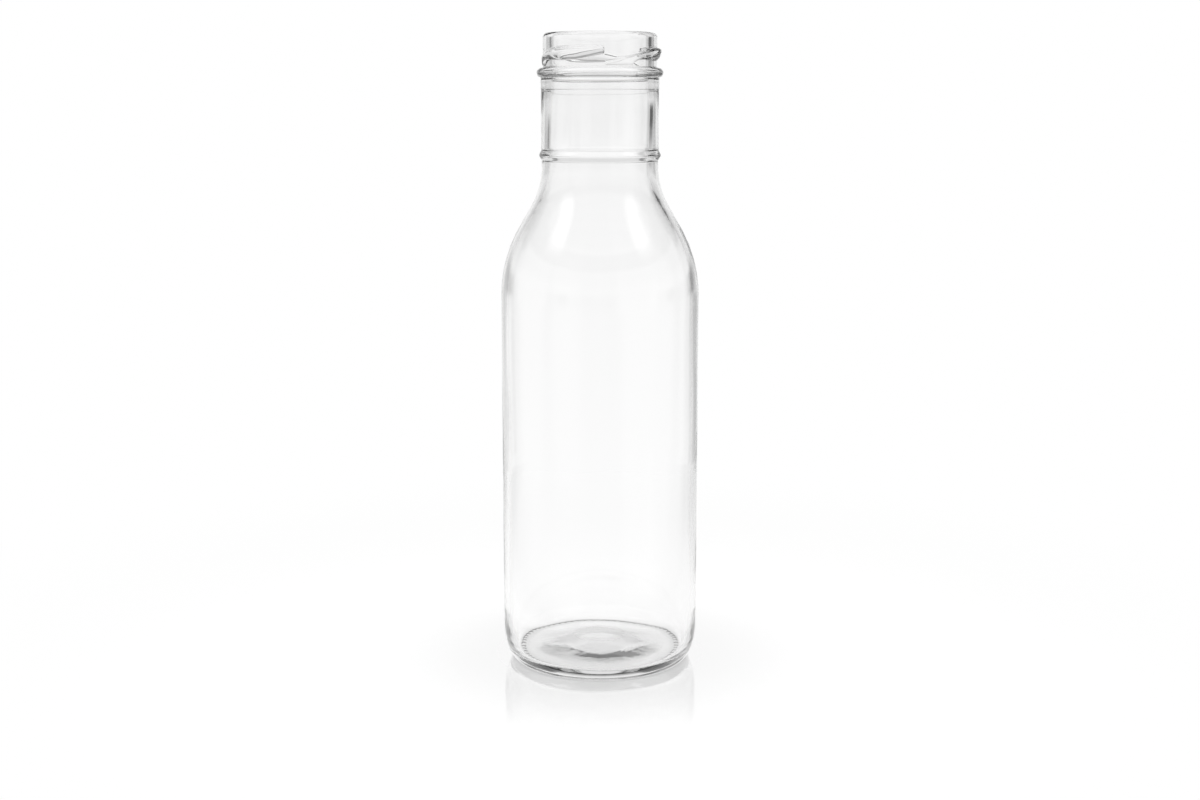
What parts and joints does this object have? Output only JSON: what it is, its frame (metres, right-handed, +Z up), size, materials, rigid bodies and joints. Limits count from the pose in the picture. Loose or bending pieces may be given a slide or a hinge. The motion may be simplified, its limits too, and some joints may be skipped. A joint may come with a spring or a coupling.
{
  "type": "glass bottle",
  "caption": "Clear glass bottle with a round body, sloping shoulder, ringed neck and open mouth with slanted lugs for a twist-off cap; holds sauce, dressing or drink.",
  "frame": {"origin": "on the bottle's axis, in the plane of the bearing ring that it stands on", "axes": "+Z up the bottle's axis towards the mouth, -Y towards the picture's camera, +X to the right of that view"},
  "size_m": [0.0628, 0.0628, 0.2],
  "materials": {
    "clear_glass": "smooth clear flint glass, fire-polished inside and out"
  },
  "bodies": {
    "root": {"glass_bottle": "clear_glass"}
  },
  "joints": []
}
